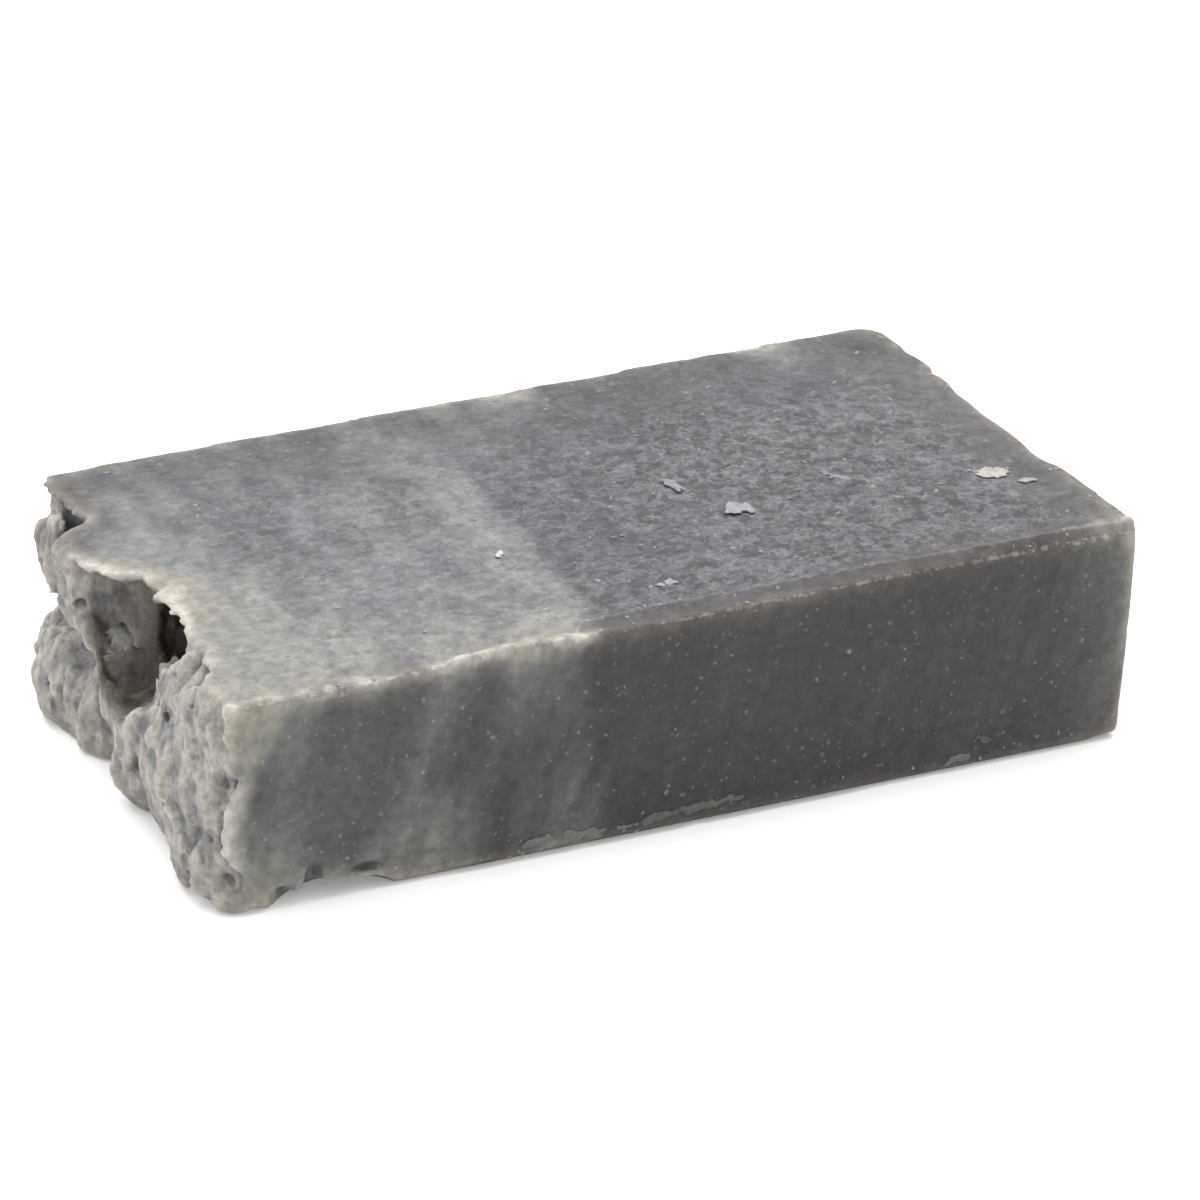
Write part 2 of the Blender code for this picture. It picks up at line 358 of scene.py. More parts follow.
def knife_drag(spots):
    """The upper cut: shallow flakes lifted by the knife, rougher away from the smooth margins."""
    x, y, z = spots.T
    rough = torn_share(x, y)
    flat = spots * (1.0, 1.0, 0.4)
    flakes = step(lumps(flat, 3.2, 12), 0.04, 0.14) + 0.8 * step(lumps(flat, 1.8, 13), 0.06, 0.18)
    waves = 0.16 * lumps(flat, 9.0, 14) + 0.10 * lumps(flat, 3.5, 15)
    ridge = np.interp(x, *zip(*FRONT_RIDGE))
    past_marbling = step(x, -16, -8)
    burr = np.exp(-(((y - ridge) / 0.5) ** 2)) * past_marbling * (0.16 + 0.5 * lumps(spots, 1.4, 20))
    lip = step(-y, SIDE_Y - 1.8, SIDE_Y - 0.4) * (1 - past_marbling) * (0.7 * lumps(spots, 1.7, 21))
    return waves + (0.1 + 0.9 * rough) * (0.1 * lumps(flat, 1.0, 16) - 0.2 * flakes) - burr - lip


def mould_wear(spots):
    """The sides: nearly flat, with faint waves and pin-holes, and a torn burr along the front's foot."""
    x, y, z = spots.T
    holes = step(-lumps(spots, 1.3, 18), 0.36, 0.46)
    torn = step(lumps(spots * (0.35, 1.0, 1.0), 1.5, 22) + 0.5 * (1.9 - z), 0.05, 0.3) * step(z, 0.5, 1.2)
    along = step(x, -30, -24) * (1 - 0.8 * step(x, 14, 22))
    burr = 0.35 * torn * step(-y, SIDE_Y - 2, SIDE_Y - 1) * along
    return 0.10 * lumps(spots, 8.0, 17) + 0.05 * lumps(spots, 1.6, 19) + 0.22 * holes - burr


RELIEF_REACH = 2.4
close = np.argwhere(np.abs(distance) < RELIEF_REACH)
spots = np.stack([lines[n][close[:, n]] for n in range(3)], axis=1)
x, y, z = spots.T
past_end = step(-block_distance(x, y, z), 0.0, 1.2) * (1 - step(x, *ROUGH_RELIEF_FADES))
on_top = step(z, cut_height(x) - 0.9, cut_height(x) - 0.3) * (1 - past_end)
on_side = (1 - past_end) * (1 - on_top) * step(z, 0.3, 1.2)
relief = np.zeros(len(spots), np.float32)
for share, texture in ((past_end, crust), (on_top, knife_drag), (on_side, mould_wear)):
    some = share > 0
    relief[some] += share[some] * texture(spots[some])
distance[tuple(close.T)] += relief

flat_foot = -grid[2]
distance = without_diagonals(np.maximum(distance, flat_foot))


def largest_shell(points, quads):
    """Drops stray crumbs of surface: only the shell with the most points stays."""
    label = np.arange(len(points))
    while True:
        lowest = label[quads].min(axis=1)
        spread = label.copy()
        np.minimum.at(spread, quads.ravel(), np.repeat(lowest, 4))
        spread = spread[spread]
        if np.array_equal(spread, label):
            break
        label = spread
    biggest = np.bincount(label).argmax()
    kept = label == biggest
    number = np.cumsum(kept) - 1
    return points[kept], number[quads[kept[quads[:, 0]]]]


points, quads = largest_shell(*surface_net(distance, lines))
mesh = bpy.data.meshes.new("soap_bar_body")
mesh.from_pydata((points * MM).tolist(), [], quads.tolist())
bar = bpy.data.objects.new("soap_bar_body", mesh)
bpy.context.scene.collection.objects.link(bar)

# The underside is flat, so it keeps only a few of its faces
UNDERSIDE_SHARE = 0.15
is_under = points[:, 2] < 0.02
underside = bar.vertex_groups.new(name="underside")
underside.add(np.flatnonzero(is_under).tolist(), 1.0, "REPLACE")
thinner = bar.modifiers.new("fewer faces below", "DECIMATE")
thinner.vertex_group = "underside"
thinner.ratio = 1 - (1 - UNDERSIDE_SHARE) * float(is_under.mean())
bar.data = bpy.data.meshes.new_from_object(bar.evaluated_get(bpy.context.evaluated_depsgraph_get()))
bar.modifiers.clear()
bar.data.shade_smooth()

CELL = 0.45


def softened(solid, reach):
    """How much of the space around each grid point is soap, weighted over about one reach."""
    cells = int(2.5 * reach / CELL)
    weights = np.exp(-0.5 * (np.arange(-cells, cells + 1) * CELL / reach) ** 2)
    field = solid.astype(np.float32)
    for axis in range(3):
        spread = np.pad(np.moveaxis(field, axis, 0), ((cells, cells), (0, 0), (0, 0)))
        count = field.shape[axis]
        field = sum(w * spread[n:n + count] for n, w in enumerate(weights / weights.sum()))
        field = np.moveaxis(field, 0, axis)
    return field


def sampled(field, points):
    """The field's value at each point, in between the grid's points."""
    at = [np.interp(p, line, np.arange(len(line))) for p, line in zip(points.T, lines)]
    at = np.stack(at, axis=1)
    low = np.minimum(at.astype(int), np.array(field.shape) - 2)
    part = at - low
    total = np.zeros(len(points))
    for corner in itertools.product((0, 1), repeat=3):
        weight = np.prod(np.where(corner, part, 1 - part), axis=1)
        total += weight * field[tuple((low + corner).T)]
    return total


# How pale the soap is along the bar, 0 charcoal to 1 pale, as (x, paleness), for each distance in mm on a
# path up the front side and then back across the upper cut. The layers run through the solid bar, so this
# one path serves for all of it.
MARBLE_LAYERS = {
    3.0: ((-50, 0.85), (-46, 0.85), (-42, 0.75), (-39, 0.5), (-33, 0.65), (-27, 0.6), (-24.5, 0.35),
          (-22, 0.1), (-20, 0.35), (-14, 0.5), (-11, 0.3), (-9.5, 0.0), (40, 0.02), (49, 0.22)),
    12.0: ((-50, 0.75), (-46, 0.45), (-42, 0.4), (-38, 0.38), (-34, 0.25), (-30, 0.4), (-27, 0.12),
          (-24, 0.05), (-21, 0.25), (-17, 0.25), (-13.5, 0.3), (-11.5, 0.02), (40, 0.02), (49, 0.24)),
    21.0: ((-50, 1.2), (-46, 1.05), (-43, 0.6), (-40, 0.35), (-34, 0.22), (-31, 0.35), (-28.5, 0.5),
          (-26, 0.35), (-24, 0.2), (-21.5, 0.55), (-19, 0.65), (-16, 0.65), (-13.6, 0.4), (-12, 0.0),
          (40, 0.03), (42.5, 0.2), (49, 0.3)),
    27.0: ((-50, 1.15), (-40, 1.0), (-34, 0.9), (-22, 0.9), (-17, 1.2), (-13, 1.1), (-10.5, 0.3),
          (-9, 0.0), (42, 0.1), (49, 0.45)),
    33.0: ((-50, 1.1), (-40, 1.1), (-35, 0.85), (-25, 0.6), (-20, 0.5), (-16, 0.75), (-11, 0.75),
          (-9.5, 0.1), (-7, 0.0), (40, 0.05), (48, 0.3)),
    55.0: ((-48, 1.0), (-43, 0.75), (-39, 0.45), (-35, 0.3), (-31, 0.35), (-27, 0.55), (-23, 0.6),
          (-19, 0.35), (-14, 0.75), (-10.8, 0.65), (-9.2, 0.03), (-6, 0.0), (39, 0.08), (42, 0.25),
          (48, 0.3)),
    75.0: ((-50, 0.15), (-45, 0.65), (-41, 0.6), (-37, 0.3), (-29, 0.3), (-20, 0.2), (-15, 0.6),
          (-10.5, 0.45), (-8, 0.15), (-5, 0.25), (0, 0.06), (34, 0.08), (38, 0.25), (48, 0.25)),
    84.0: ((-50, 0.15), (-40, 0.3), (-20, 0.3), (-8, 0.35), (-6, 0.6), (-3, 0.3), (1, 1.5), (4, 1.5),
          (7, 0.25), (30, 0.2), (35, 1.2), (39, 0.25), (48, 0.25)),
}


def paleness(points):
    x, y, z = points.T
    drift = 4.0 * lumps(points, 16, 31) + 2.0 * lumps(points, 6, 32)
    x = x + drift * (0.25 + 0.75 * (1 - step(x, -20, -12))) * (1 - step(x, 36, 44))
    path = z + y + SIDE_Y + 6 * lumps(points, 14, 33)
    stations = sorted(MARBLE_LAYERS)
    profiles = np.stack([np.interp(x, *zip(*MARBLE_LAYERS[s])) for s in stations])
    at = np.clip(np.interp(path, stations, np.arange(len(stations))), 0, len(stations) - 1.001)
    low = at.astype(int)
    pick = np.arange(len(x))
    pale = profiles[low, pick] * (1 - at + low) + profiles[low + 1, pick] * (at - low)
    leaning = np.column_stack([points[:, 0] - 0.35 * z, 0.45 * y, 0.22 * z])
    clouds = 0.8 * lumps(leaning, 3.4, 34) + 0.4 * lumps(leaning, 1.5, 36)
    return pale + clouds * np.clip(0.2 + 0.8 * pale, 0.2, 0.7)


skin = np.empty(3 * len(bar.data.vertices), np.float32)
bar.data.vertices.foreach_get("co", skin)
skin = skin.reshape(-1, 3) / MM
solid = distance < 0
x, y, z = skin.T
rough_end = step(-block_distance(x, y, z), 0.3, 1.0) * (1 - step(x, *ROUGH_RELIEF_FADES))
on_cut = step(z, cut_height(x) - 1.4, cut_height(x) - 0.5) * (1 - rough_end)
ridge = np.interp(x, *zip(*FRONT_RIDGE))
crumbs = on_cut * (0.1 + 0.6 * torn_share(x, y))
crumbs += 3.0 * on_cut * np.exp(-(((y - ridge) / 0.6) ** 2))
crumbs += 1.6 * step(-y, SIDE_Y - 1.2, SIDE_Y - 0.2) * step(z, cut_height(x) - 0.9, cut_height(x) - 0.2)
crumbs += 1.6 * step(-y, SIDE_Y - 0.6, SIDE_Y) * (1 - step(z, 1.4, 3.2))
crumbs += 1.5 * on_cut * step(x, 48.0, 49.2)
from_edge = np.maximum(cut_height(x) - np.interp(x, *zip(*FRONT_EDGE_DROP)) - z, y + SIDE_Y)
creamy_lip = np.exp(-((from_edge / 1.3) ** 2)) * step(x, -31, -27) * (1 - step(x, -15, -11))
pale = paleness(skin) + 0.55 * creamy_lip
clear_margins = (1 - 0.6 * step(x, 38, 47)) * (1 - 0.5 * step(y, 20, 27))
bloom = on_cut * (0.07 + 0.07 * np.clip(pale / 0.6, 0, 1)) * clear_margins
bloom *= 1 + 0.7 * lumps(skin, 3.0, 35) + 0.6 * lumps(skin * (1, 0.6, 1), 9.0, 37)
# Painted shade: the cave and its pocket are painted dark where the roof keeps off the light, darkest on the
# cave's near side and lighter towards +y
from_cave = ellipsoid(skin.T, *END_HOLLOWS["cave"])
from_pocket = ellipsoid(skin.T, *END_HOLLOWS["cave's pocket"])
in_cave = (0.92 - 0.42 * step(y, 0.0, 5.5)) * (1 - step(from_cave, 0.5, 3.4))
in_cave = np.maximum(in_cave, 0.95 * (1 - step(from_pocket, 0.2, 1.4)))
for name, values in {
    "pale": pale,
    "bloom": bloom,
    "exposed": 0.5 - sampled(softened(solid, 0.9), skin),
    "thin": 0.5 - sampled(softened(solid, 2.4), skin),
    "in_cave": in_cave * step(cut_height(x) - z, 0.4, 1.4),
    "rough_end": rough_end,
    "on_cut": on_cut,
    "torn": on_cut * (0.08 + 0.92 * torn_share(x, y)),
    "from_edge": from_edge,
    "from_ridge": y - ridge + 5 * step(-x, 12, 16),
    "crumbly": crumbs * (1 - rough_end),
}.items():
    attribute = bar.data.attributes.new(name, "FLOAT", "POINT")
    attribute.data.foreach_set("value", np.ascontiguousarray(values, np.float32))
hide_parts("soap_bar")
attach(bar, "root")


def linear(code, alpha=1.0):
    """The linear colour of an sRGB hex code."""
    parts = [int(code[n:n + 2], 16) / 255 for n in (1, 3, 5)]
    return (*(c / 12.92 if c <= 0.04045 else ((c + 0.055) / 1.055) ** 2.4 for c in parts), alpha)


def node(tree, kind, sockets=None, stops=(), **settings):
    """Adds a node. A socket's value is a number, a colour, or the node or socket that feeds it."""
    made = tree.nodes.new(kind)
    for name, value in settings.items():
        setattr(made, name, value)
    for name, value in (sockets or {}).items():
        if isinstance(value, (bpy.types.Node, bpy.types.NodeSocket)):
            source = value.outputs[0] if isinstance(value, bpy.types.Node) else value
            tree.links.new(source, made.inputs[name])
        else:
            made.inputs[name].default_value = value
    for count, (place, colour) in enumerate(stops):
        ramp = made.color_ramp.elements
        stop = ramp[count] if count < 2 else ramp.new(place)
        stop.position, stop.color = place, linear(colour)
    return made


# Cured marbled soap: charcoal body with pale clay layers, satin and faintly translucent. The paler, warmer
# glow of its thin edges is also painted into the colour, as is shade in the rough end's hollows, with a dry
# grey bloom on the knife cuts and pin-point pale specks throughout.
soap = bpy.data.materials.new("cured marbled soap")
soap.use_nodes = True
tree = soap.node_tree
shader = tree.nodes["Principled BSDF"]

place = node(tree, "ShaderNodeTexCoord").outputs["Object"]
mm = node(tree, "ShaderNodeVectorMath", {0: place, "Scale": 1 / MM}, operation="SCALE")
field = {name: node(tree, "ShaderNodeAttribute", attribute_name=name).outputs["Fac"]
         for name in ("pale", "bloom", "exposed", "thin", "in_cave", "rough_end", "on_cut", "torn",
                      "from_edge", "from_ridge")}
body = node(tree, "ShaderNodeValToRGB", {"Fac": field["pale"]}, stops=(
    (0.0, "#2E2E30"), (0.35, "#444545"), (0.7, "#595B59"), (1.0, "#737269")))
crust_patches = node(tree, "ShaderNodeTexNoise",
                     {"Vector": mm, "Scale": 0.28, "Detail": 4.0, "Roughness": 0.6})
crust_colour = node(tree, "ShaderNodeValToRGB", {"Fac": crust_patches}, stops=(
    (0.35, "#75747A"), (0.48, "#8A8886"), (0.58, "#A8A49C"), (0.68, "#857E77")))
crust_share = node(tree, "ShaderNodeMath", {0: field["rough_end"], 1: 0.85}, operation="MULTIPLY")
colour = node(tree, "ShaderNodeMix", {"Factor": crust_share, 6: body, 7: crust_colour.outputs[0]},
              data_type="RGBA").outputs[2]
colour = node(tree, "ShaderNodeMix", {"Factor": field["bloom"], 6: colour, 7: linear("#86818F")},
              data_type="RGBA").outputs[2]

# Painted glow: thin edges are painted paler, as if light shone through them, brown in the charcoal layers
# and cream in the pale ones
painted_glow = node(tree, "ShaderNodeMapRange",
            {"Value": field["thin"], "From Min": 0.05, "From Max": 0.25, "To Max": 0.6})
painted_glow_by_layer = node(tree, "ShaderNodeMapRange",
                     {"Value": field["pale"], "From Max": 0.7, "To Min": 0.8, "To Max": 1.0})
painted_glow = node(tree, "ShaderNodeMath", {0: painted_glow, 1: painted_glow_by_layer}, operation="MULTIPLY")
painted_glow_colour = node(tree, "ShaderNodeValToRGB", {"Fac": field["pale"]},
                   stops=((0.1, "#5A4E43"), (0.7, "#8A8274")))
colour = node(tree, "ShaderNodeMix", {"Factor": painted_glow, 6: colour, 7: painted_glow_colour.outputs[0]},
              data_type="RGBA").outputs[2]

# Crests are rubbed pale; the rough end's hollows and its cave get painted shade, a dark brown where little
# light reaches
crest = node(tree, "ShaderNodeMapRange",
             {"Value": field["exposed"], "From Min": 0.06, "From Max": 0.28, "To Max": 0.4})
crest_by_layer = node(tree, "ShaderNodeMapRange",
                      {"Value": field["pale"], "From Max": 0.6, "To Min": 0.15, "To Max": 1.0})
crest_by_layer = node(tree, "ShaderNodeMath", {0: crest_by_layer, 1: field["rough_end"]},
                      operation="MAXIMUM")
crest = node(tree, "ShaderNodeMath", {0: crest, 1: crest_by_layer}, operation="MULTIPLY")
colour = node(tree, "ShaderNodeMix", {"Factor": crest, 6: colour, 7: linear("#CDC9C3")},
              data_type="RGBA").outputs[2]
hollow = node(tree, "ShaderNodeMapRange",
              {"Value": field["exposed"], "From Min": -0.04, "From Max": -0.26, "To Max": 0.65})
hollow = node(tree, "ShaderNodeMath", {0: hollow, 1: field["in_cave"]}, operation="MAXIMUM")
hollow = node(tree, "ShaderNodeMath", {0: hollow, 1: field["rough_end"]}, operation="MULTIPLY")
colour = node(tree, "ShaderNodeMix", {"Factor": hollow, 6: colour, 7: linear("#332A21")},
              data_type="RGBA").outputs[2]

# Torn flakes: raised plates of two sizes in mm, palest along the rims that have lifted and dried
plates = []
for flake_size, rise in ((2.4, 0.16), (1.0, 0.06)):
    tears = node(tree, "ShaderNodeTexNoise",
                 {"Vector": mm, "Scale": 1 / flake_size, "Detail": 4.0, "Roughness": 0.58})
    plate = node(tree, "ShaderNodeMapRange", {"Value": tears, "From Min": 0.49, "From Max": 0.59})
    rim = node(tree, "ShaderNodeMath", {0: plate, 1: 0.5}, operation="PINGPONG")
    plate = node(tree, "ShaderNodeMath", {0: plate, 1: field["torn"]}, operation="MULTIPLY")
    plates.append((plate, rise))
    rim = node(tree, "ShaderNodeMath", {0: rim, 1: field["torn"]}, operation="MULTIPLY")
    lift = node(tree, "ShaderNodeMath", {0: plate, 1: 0.05}, operation="MULTIPLY")
    lift = node(tree, "ShaderNodeMath", {0: rim, 1: 0.26, 2: lift}, operation="MULTIPLY_ADD")
    colour = node(tree, "ShaderNodeMix", {"Factor": lift, 6: colour, 7: linear("#BDBABF")},
                  data_type="RGBA").outputs[2]

# The knife's two front edges, each a crumbly pale line. A width never reaches 0, which would divide by 0.
wander = node(tree, "ShaderNodeTexNoise", {"Vector": mm, "Scale": 1.1, "Detail": 5.0, "Roughness": 0.7})
pale_side = node(tree, "ShaderNodeMapRange",
                 {"Value": field["pale"], "From Max": 0.5, "To Min": 0.25, "To Max": 0.5})
for line, width, share in (("from_edge", 0.5, 1.0), ("from_ridge", 0.4, 0.35)):
    off = node(tree, "ShaderNodeMath", {0: field[line]}, operation="ABSOLUTE")
    wide = node(tree, "ShaderNodeMapRange",
                {"Value": wander, "From Min": 0.38, "From Max": 0.66, "To Min": 0.05, "To Max": width})
    near = node(tree, "ShaderNodeMath", {0: off, 1: wide}, operation="DIVIDE")
    near = node(tree, "ShaderNodeMapRange",
                {"Value": near, "From Min": 0.6, "From Max": 1.1, "To Min": share, "To Max": 0.0})
    near = node(tree, "ShaderNodeMath", {0: near, 1: pale_side}, operation="MULTIPLY")
    if line == "from_ridge":
        near = node(tree, "ShaderNodeMath", {0: near, 1: field["on_cut"]}, operation="MULTIPLY")
    colour = node(tree, "ShaderNodeMix", {"Factor": near, 6: colour, 7: linear("#B9B6B0")},
                  data_type="RGBA").outputs[2]

# Specks: pale grains of clay and salt in three spacings and sizes in mm, few of them quite round
strayed = node(tree, "ShaderNodeTexNoise", {"Vector": mm, "Scale": 1.8, "Detail": 1.0})
strayed = node(tree, "ShaderNodeVectorMath", {0: strayed.outputs["Color"], 1: (0.5, 0.5, 0.5), 2: mm},
               operation="MULTIPLY_ADD")
uneven = node(tree, "ShaderNodeMath", {0: field["on_cut"], 1: field["rough_end"]}, operation="MAXIMUM")
fewer_on_cut = node(tree, "ShaderNodeMapRange", {"Value": uneven, "To Min": 1.0, "To Max": 0.4})
for spacing, speck_size, strength in ((0.8, 0.34, 0.24), (1.5, 0.54, 0.34), (3.4, 0.7, 0.4)):
    cells = node(tree, "ShaderNodeTexVoronoi", {"Vector": strayed, "Scale": 1 / spacing})
    chance = node(tree, "ShaderNodeMath", {0: cells.outputs["Color"], 1: 1.5}, operation="POWER")
    reach = node(tree, "ShaderNodeMath", {0: chance, 1: speck_size / spacing, 2: 0.02},
                 operation="MULTIPLY_ADD")
    speck = node(tree, "ShaderNodeMath", {0: cells.outputs["Distance"], 1: reach}, operation="DIVIDE")
    speck = node(tree, "ShaderNodeMapRange",
                 {"Value": speck, "From Min": 1.1, "From Max": 0.1, "To Max": strength})
    speck = node(tree, "ShaderNodeMath", {0: speck, 1: fewer_on_cut}, operation="MULTIPLY")
    colour = node(tree, "ShaderNodeMix", {"Factor": speck, 6: colour, 7: linear("#B0B0AC")},
                  data_type="RGBA").outputs[2]

grain = node(tree, "ShaderNodeTexNoise", {"Vector": mm, "Scale": 0.8, "Detail": 5.0, "Roughness": 0.65})
shade = node(tree, "ShaderNodeMapRange",
             {"Value": grain, "From Min": 0.3, "From Max": 0.7, "To Min": 0.68, "To Max": 1.32})
colour = node(tree, "ShaderNodeVectorMath", {0: colour, 1: shade}, operation="MULTIPLY")
tree.links.new(colour.outputs[0], shader.inputs["Base Color"])

# The sides keep the mould's satin, and the cuts and the rough end are drier
roughness = node(tree, "ShaderNodeMapRange", {"Value": uneven, "To Min": 0.46, "To Max": 0.62})
tree.links.new(roughness.outputs[0], shader.inputs["Roughness"])
height = node(tree, "ShaderNodeMapRange", {"Value": uneven, "To Min": 0.05, "To Max": 0.16})
height = node(tree, "ShaderNodeMath", {0: height, 1: grain}, operation="MULTIPLY")
crust_grain = node(tree, "ShaderNodeTexNoise",
                   {"Vector": mm, "Scale": 0.9, "Detail": 4.0, "Roughness": 0.65})
crust_rise = node(tree, "ShaderNodeMath", {0: field["rough_end"], 1: 0.5}, operation="MULTIPLY")
height = node(tree, "ShaderNodeMath", {0: crust_grain, 1: crust_rise, 2: height}, operation="MULTIPLY_ADD")
for plate, rise in plates:
    height = node(tree, "ShaderNodeMath", {0: plate, 1: rise, 2: height}, operation="MULTIPLY_ADD")
bump = node(tree, "ShaderNodeBump", {"Height": height, "Distance": MM})
tree.links.new(bump.outputs[0], shader.inputs["Normal"])
shader.inputs["IOR"].default_value = 1.46
shader.inputs["Specular IOR Level"].default_value = 0.35
shader.inputs["Subsurface Weight"].default_value = 0.25
shader.inputs["Subsurface Radius"].default_value = (1.0, 0.85, 0.7)
shader.inputs["Subsurface Scale"].default_value = 1.2 * MM
bar.data.materials.append(soap)

# ---- Flakes and shavings ----
# The larger loose pieces of the same soap: curled flakes lifted by the knife and left on the upper cut, and
# shavings smeared along the foot of the front side. Each is a thin ragged sheet, thickest in the middle,
# given as (length, width, thickness in mm, turn in degrees, colour).
FLAKES = {
    "crumb_top_pale_large": (4.0, 3.6, 0.26, 20, "#99958F"),
    "crumb_top_pale_small": (2.6, 1.8, 0.26, -15, "#878483"),
    "crumb_top_middle": (4.0, 2.8, 0.26, 30, "#828083"),
    "crumb_top_long": (4.8, 1.4, 0.26, -48, "#6F6E72"),
    "crumb_top_rear": (3.8, 1.4, 0.26, -75, "#767478"),
    "crumb_top_bright": (1.7, 0.7, 0.26, 60, "#B5B3B0"),
    "crumb_top_front": (2.1, 1.6, 0.26, 10, "#807F84"),
    "shaving_front_long": (13.0, 1.3, 0.5, -2, "#62635F"),
    "shaving_front_middle": (15.0, 1.1, 0.5, 3, "#525350"),
    "shaving_front_short": (3.4, 1.0, 0.26, 8, "#60605D"),
    "shaving_front_upper": (2.8, 1.1, 0.26, -24, "#484847"),
}
FLAKE_STEP = 0.13
TOP_FLAKE_LIFT = 0.2
SHAVING_LIFT = 0.05


def flake_material(name, code):
    """Dry knife-torn soap, thin enough to let some light through, so it reads paler than the bar."""
    made = bpy.data.materials.new(name)
    made.use_nodes = True
    tree = made.node_tree
    shader = tree.nodes["Principled BSDF"]
    place = node(tree, "ShaderNodeTexCoord").outputs["Object"]
    mm = node(tree, "ShaderNodeVectorMath", {0: place, "Scale": 1 / MM}, operation="SCALE")
    grain = node(tree, "ShaderNodeTexNoise", {"Vector": mm, "Scale": 1.6, "Detail": 4.0})
    shade = node(tree, "ShaderNodeMapRange",
                 {"Value": grain, "From Min": 0.3, "From Max": 0.7, "To Min": 0.75, "To Max": 1.2})
    colour = node(tree, "ShaderNodeVectorMath", {0: linear(code)[:3], 1: shade}, operation="MULTIPLY")
    tree.links.new(colour.outputs[0], shader.inputs["Base Color"])
    bump = node(tree, "ShaderNodeBump", {"Height": grain, "Distance": 0.2 * MM})
    tree.links.new(bump.outputs[0], shader.inputs["Normal"])
    shader.inputs["Roughness"].default_value = 0.6
    shader.inputs["IOR"].default_value = 1.46
    shader.inputs["Subsurface Weight"].default_value = 0.4
    shader.inputs["Subsurface Radius"].default_value = (1.0, 0.9, 0.8)
    shader.inputs["Subsurface Scale"].default_value = 0.6 * MM
    return made


for seed, (name, (length, width, thickness, turn, code)) in enumerate(FLAKES.items()):
    low, high = (np.array(corner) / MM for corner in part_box(name))
    centre = (low + high) / 2
    reach = np.array([length * 0.75, width * 0.9, thickness * 1.6 + 0.4])
    flake_lines = [grid_line(-r, (r, FLAKE_STEP)) for r in reach]
    u, v, w = (axis.ravel() for axis in np.meshgrid(*flake_lines, indexing="ij"))
    spots = np.stack([u, v, w * 0], axis=1)
    ragged = 0.8 * lumps(spots, 1.4, 50 + seed) + 0.7 * lumps(spots, 0.6, 70 + seed)
    inside = 1 - np.hypot(u / length * 2, v / width * 2) + ragged
    share = np.clip(inside * 2.2, 0, 1)
    half = thickness / 2 * np.sqrt(share) * (0.75 + 0.8 * lumps(spots, 0.9, 90 + seed))
    crown = 0.35 * lumps(spots, 2.2, 60 + seed) * thickness + 0.25 * thickness * (u / length * 2) ** 2
    sheet = np.maximum(np.abs(w - crown) - half, -inside * width * 0.5 + 0.05)
    sheet = without_diagonals(sheet.reshape([len(line) for line in flake_lines]))
    points, quads = largest_shell(*surface_net(sheet, flake_lines))
    spin = math.radians(turn)
    along, across = np.array([math.cos(spin), math.sin(spin)]), np.array([-math.sin(spin), math.cos(spin)])
    flat = points[:, :1] * along + points[:, 1:2] * across
    if name.startswith("crumb_top"):
        placed = np.column_stack([flat, points[:, 2]])
        placed += (centre[0], centre[1], cut_height(centre[0]) + TOP_FLAKE_LIFT)
    else:
        placed = np.column_stack([flat[:, 0], -points[:, 2], flat[:, 1]])
        placed += (centre[0], -SIDE_Y - SHAVING_LIFT, centre[2])
    mesh = bpy.data.meshes.new(f"{name}_flake")
    mesh.from_pydata((placed * MM).tolist(), [], quads.tolist())
    mesh.shade_smooth()
    flake = bpy.data.objects.new(f"{name}_flake", mesh)
    bpy.context.scene.collection.objects.link(flake)
    mesh.materials.append(flake_material(f"dried soap {name}", code))
    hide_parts(name)
    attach(flake, "root")

# ---- Fine crumbs ----
# Hundreds of dry specks of the same soap, pressed into the upper cut and gathered along its front edge and
# the foot of the front side. One small rounded chip, scattered, turned and roughened.
crumb_tree = bpy.data.node_groups.new("crumb scatter", "GeometryNodeTree")
interface = crumb_tree.interface
interface.new_socket("Geometry", in_out="INPUT", socket_type="NodeSocketGeometry")
CRUMB_INPUTS = {
    "Crumbs per Square Metre": ("NodeSocketFloat", 170000.0),
    "Smallest": ("NodeSocketFloat", 0.07 * MM),
    "Largest": ("NodeSocketFloat", 0.38 * MM),
    "Raggedness": ("NodeSocketFloat", 0.3 * MM),
    "Seed": ("NodeSocketInt", 5),
    "Material": ("NodeSocketMaterial", flake_material("fine dry soap crumbs", "#7E7C7D")),
}
sockets = {name: interface.new_socket(name, in_out="INPUT", socket_type=kind)
           for name, (kind, value) in CRUMB_INPUTS.items()}
interface.new_socket("Geometry", in_out="OUTPUT", socket_type="NodeSocketGeometry")
given = node(crumb_tree, "NodeGroupInput").outputs
crumbly = node(crumb_tree, "GeometryNodeInputNamedAttribute", {"Name": "crumbly"}, data_type="FLOAT")
density = node(crumb_tree, "ShaderNodeMath", {0: crumbly, 1: given["Crumbs per Square Metre"]},
               operation="MULTIPLY")
spread = node(crumb_tree, "GeometryNodeDistributePointsOnFaces",
              {"Mesh": given["Geometry"], "Density": density, "Seed": given["Seed"]})
chip = node(crumb_tree, "GeometryNodeMeshIcoSphere", {"Radius": 1.0, "Subdivisions": 2})
pick = node(crumb_tree, "FunctionNodeRandomValue", {"Seed": given["Seed"]}, data_type="FLOAT")
skewed = node(crumb_tree, "ShaderNodeMath", {0: pick.outputs[1], 1: 3.0}, operation="POWER")
size = node(crumb_tree, "ShaderNodeMapRange",
            {"Value": skewed, "To Min": given["Smallest"], "To Max": given["Largest"]})
flattened = node(crumb_tree, "FunctionNodeRandomValue",
                 {0: (0.8, 0.45, 0.22), 1: (1.3, 0.8, 0.45), "Seed": 3}, data_type="FLOAT_VECTOR")
chip_scale = node(crumb_tree, "ShaderNodeVectorMath", {0: flattened, "Scale": size}, operation="SCALE")
chips = node(crumb_tree, "GeometryNodeInstanceOnPoints",
             {"Points": spread.outputs["Points"], "Instance": chip, "Rotation": spread.outputs["Rotation"],
              "Scale": chip_scale})
